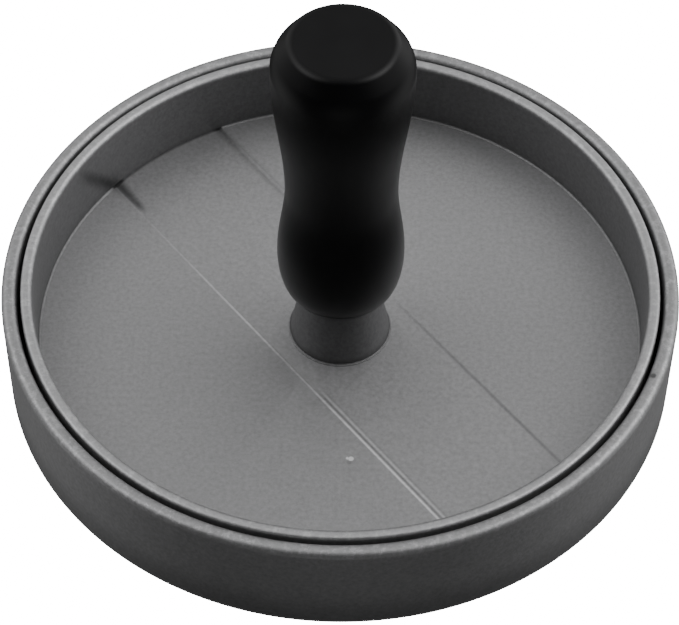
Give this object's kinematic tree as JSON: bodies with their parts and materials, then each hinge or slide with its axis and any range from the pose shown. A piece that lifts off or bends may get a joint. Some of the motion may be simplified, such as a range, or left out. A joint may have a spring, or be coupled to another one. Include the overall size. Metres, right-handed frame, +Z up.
{
  "type": "patty press",
  "caption": "Round cast-aluminium patty press: a shallow mould, a press plate that nests in it, and a black waisted handle screwed onto the plate's boss.",
  "frame": {"origin": "on the table, under the middle of the mould", "axes": "+Z up along the handle and the axis of every joint; +X to the right and -Y towards the viewer of the picture, which shows the band across the press plate running from back left to front right"},
  "size_m": [0.12, 0.12, 0.079],
  "materials": {
    "casting": "satin grey, fine blasted grain, worn bright on the rims",
    "steel": "zinc plated",
    "brass": "turned",
    "black_plastic": "moulded, satin"
  },
  "bodies": {
    "mould": {"mould": "casting"},
    "press": {"press_plate": "casting", "handle_stud": "steel"},
    "washer": {"handle_washer": "steel"},
    "grip": {"handle_grip": "black_plastic", "grip_insert": "brass"}
  },
  "joints": [
    {"name": "press_lift", "type": "slide", "parent": "mould", "child": "press", "axis": [0, 0, 1], "range_m": [0, 0.06]},
    {"name": "grip_unscrew", "type": "hinge", "parent": "press", "child": "washer", "pos_m": [0, 0, 0.0184], "axis": [0, 0, 1], "range_deg": [0, 3960]},
    {"name": "grip_rise", "type": "slide", "parent": "washer", "child": "grip", "axis": [0, 0, 1], "range_m": [0, 0.0111]}
  ],
  "couplings": [
    {"joint": "grip_rise", "follows": "grip_unscrew", "m_per_rad": 0.00015915}
  ]
}
